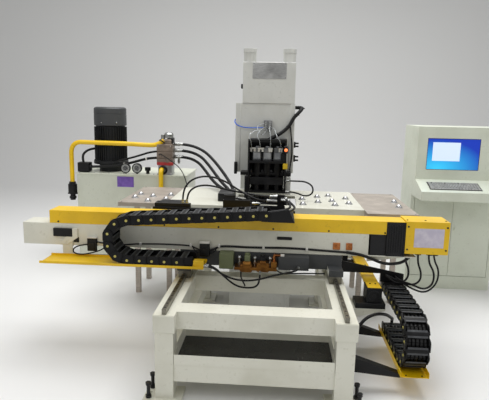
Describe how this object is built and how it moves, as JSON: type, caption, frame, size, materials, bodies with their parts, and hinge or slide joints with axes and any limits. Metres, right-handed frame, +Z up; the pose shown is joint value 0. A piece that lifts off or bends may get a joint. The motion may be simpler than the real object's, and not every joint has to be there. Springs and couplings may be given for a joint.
{
  "type": "plate punching machine",
  "caption": "Plate punching machine: C-frame press, low bed with a sliding beam and clamp carriage, roller tables, hydraulic pack and console.",
  "frame": {"origin": "on the floor at the centre of the bed's four anchor holes", "axes": "+X along the beam towards its motor, +Y from the bed to the press, +Z up"},
  "size_m": [4.06, 3.05, 2.07],
  "materials": {
    "cream": "satin machine paint",
    "yellow": "gloss folded sheet paint",
    "black_paint": "black painted steel",
    "press_paint": "light grey machine paint",
    "steel": "ground steel",
    "chrome_ball": "polished steel balls",
    "steel_plate": "sheet steel",
    "alu": "cast and machined aluminium",
    "cast_black": "black cast iron",
    "nylon": "moulded black nylon",
    "rubber": "hose rubber",
    "motor_grey": "dark grey paint",
    "brass": "ported bar",
    "glass_screen": "flat screen",
    "console_paint": "textured light paint"
  },
  "bodies": {
    "base": {"bed_frame": "cream", "levelling_bolts": "steel", "y_rails": "steel", "press_frame": "press_paint", "press_head": "press_paint", "selector_frame": "black_paint", "selectors": "alu", "press_cables": "rubber", "die_set": "cast_black", "centre_table": "cream", "side_tables": "steel_plate", "ball_units": "chrome_ball", "oil_tank": "cream", "pump_motor": "motor_grey", "tank_instruments": "black_paint", "valve_stack": "alu", "oil_pipes": "yellow", "console_cabinet": "console_paint", "console_desk": "console_paint", "console_screen": "glass_screen", "y_motor": "black_paint", "y_screw_cover": "yellow", "y_chain_tray": "yellow", "y_chain_lower": "nylon", "pack_hose_a": "rubber", "pack_hose_b": "rubber", "pack_hose_c": "rubber", "loop_hose": "rubber", "y_cable": "rubber"},
    "saddle": {"saddle_frame": "cream", "bearing_blocks": "steel", "x_beam": "cream", "x_rails": "steel", "x_cover": "yellow", "x_screw_housing": "cast_black", "x_motor_cover": "yellow", "x_chain_tray": "yellow", "x_chain_lower": "nylon", "valve_manifold": "brass", "beam_wiring": "rubber", "y_chain_upper": "nylon", "saddle_hose_a": "rubber", "saddle_hose_b": "rubber", "motor_cable_a": "rubber", "motor_cable_b": "rubber"},
    "carriage": {"carriage_plate": "black_paint", "chain_bracket": "black_paint", "clamp_bodies": "black_paint", "x_chain_upper": "nylon", "clamp_hose_a": "rubber", "clamp_hose_b": "rubber"},
    "x_loop": {"x_chain_loop": "nylon"},
    "y_loop": {"y_chain_loop": "nylon"},
    "x_feed_screw": {"x_screw": "steel"},
    "y_feed_screw": {"y_screw": "steel"},
    "left_jaw": {"clamp_jaw_left": "black_paint"},
    "right_jaw": {"clamp_jaw_right": "black_paint"},
    "ram": {"ram": "cast_black"},
    "left_door": {"console_door_left": "console_paint"},
    "right_door": {"console_door_right": "console_paint"}
  },
  "joints": [
    {"name": "y_axis", "type": "slide", "parent": "base", "child": "saddle", "axis": [0, 1, 0], "range_m": [-0.4, 0.05], "deforming": ["y_chain_upper"]},
    {"name": "x_axis", "type": "slide", "parent": "saddle", "child": "carriage", "axis": [1, 0, 0], "range_m": [-0.78, 0.7], "deforming": ["x_chain_upper"]},
    {"name": "x_chain_roll", "type": "slide", "parent": "saddle", "child": "x_loop", "axis": [1, 0, 0], "range_m": [-0.39, 0.35], "deforming": ["x_chain_lower"]},
    {"name": "y_chain_roll", "type": "slide", "parent": "base", "child": "y_loop", "axis": [0, 1, 0], "range_m": [-0.2, 0.025], "deforming": ["y_chain_lower"]},
    {"name": "x_screw_spin", "type": "hinge", "parent": "saddle", "child": "x_feed_screw", "pos_m": [0, 0, 0.85], "axis": [1, 0, 0], "range_deg": [-14100, 12700]},
    {"name": "y_screw_spin", "type": "hinge", "parent": "base", "child": "y_feed_screw", "pos_m": [0.735, 0, 0.438], "axis": [0, 1, 0], "range_deg": [-7300, 1000]},
    {"name": "clamp_left", "type": "hinge", "parent": "carriage", "child": "left_jaw", "pos_m": [-0.655, 0.205, 0.905], "axis": [1, 0, 0], "range_deg": [-8, 6]},
    {"name": "clamp_right", "type": "hinge", "parent": "carriage", "child": "right_jaw", "pos_m": [-0.175, 0.205, 0.905], "axis": [1, 0, 0], "range_deg": [-8, 6]},
    {"name": "ram_stroke", "type": "slide", "parent": "base", "child": "ram", "axis": [0, 0, 1], "range_m": [-0.04, 0]},
    {"name": "door_left", "type": "hinge", "parent": "base", "child": "left_door", "pos_m": [1.339, 1.259, 0.5], "axis": [0, 0, -1], "range_deg": [0, 90]},
    {"name": "door_right", "type": "hinge", "parent": "base", "child": "right_door", "pos_m": [2.001, 1.259, 0.5], "axis": [0, 0, 1], "range_deg": [0, 110]}
  ],
  "couplings": [
    {"joint": "x_chain_roll", "follows": "x_axis", "ratio": 0.5},
    {"joint": "y_chain_roll", "follows": "y_axis", "ratio": 0.5},
    {"joint": "x_screw_spin", "follows": "x_axis", "rad_per_m": 314.16},
    {"joint": "y_screw_spin", "follows": "y_axis", "rad_per_m": 314.16},
    {"joint": "clamp_right", "follows": "clamp_left", "ratio": 1}
  ]
}
